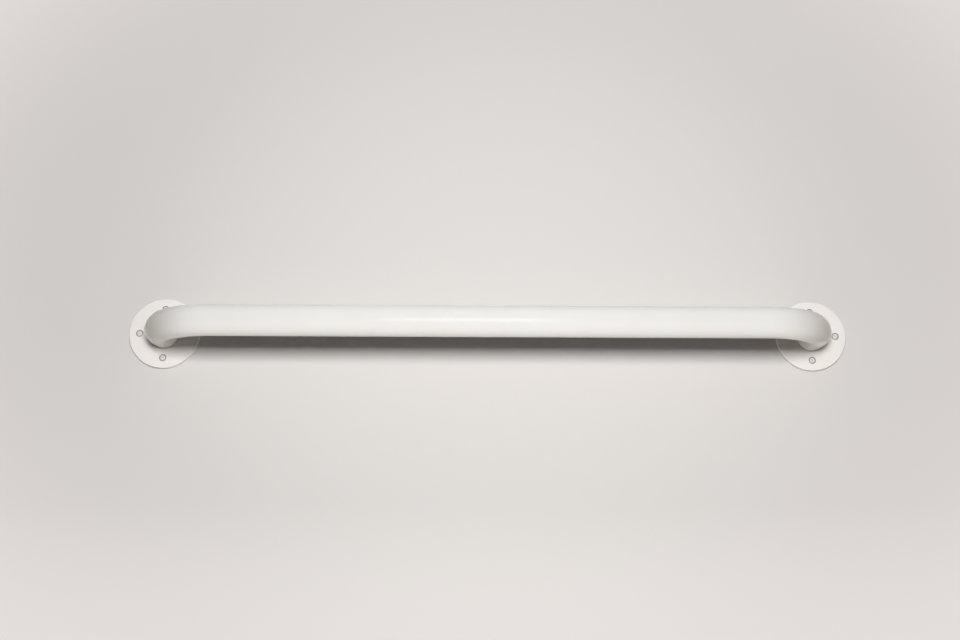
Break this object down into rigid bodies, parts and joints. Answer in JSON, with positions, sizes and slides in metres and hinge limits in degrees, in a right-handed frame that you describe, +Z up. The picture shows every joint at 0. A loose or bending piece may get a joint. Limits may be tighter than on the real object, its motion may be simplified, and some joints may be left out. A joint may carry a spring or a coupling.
{
  "type": "grab bar",
  "caption": "Straight wall grab bar: a bent round tube welded into a round screwed flange at each end, with countersunk screws and wall plugs.",
  "frame": {"origin": "on the wall plane, midway between the centres of the two flanges", "axes": "+X along the bar to the right of someone facing it, +Y into the wall, -Y away from the wall, +Z up"},
  "size_m": [0.776, 0.1334, 0.076],
  "materials": {
    "coated_tube": "glossy white powder coat on steel tube",
    "coated_plate": "glossy white powder coat on steel plate",
    "weld_bead": "white powder coat over a rippled weld",
    "zinc_screw": "zinc plated, satin",
    "nylon_plug": "moulded grey nylon"
  },
  "bodies": {
    "root": {"rail_tube": "coated_tube", "flange_left": "coated_plate", "weld_left": "weld_bead", "screw_left_top": "zinc_screw", "wall_plug_left_top": "nylon_plug", "screw_left_outer": "zinc_screw", "wall_plug_left_outer": "nylon_plug", "screw_left_bottom": "zinc_screw", "wall_plug_left_bottom": "nylon_plug", "screw_left_inner": "zinc_screw", "wall_plug_left_inner": "nylon_plug", "flange_right": "coated_plate", "weld_right": "weld_bead", "screw_right_top": "zinc_screw", "wall_plug_right_top": "nylon_plug", "screw_right_outer": "zinc_screw", "wall_plug_right_outer": "nylon_plug", "screw_right_bottom": "zinc_screw", "wall_plug_right_bottom": "nylon_plug", "screw_right_inner": "zinc_screw", "wall_plug_right_inner": "nylon_plug"}
  },
  "joints": []
}
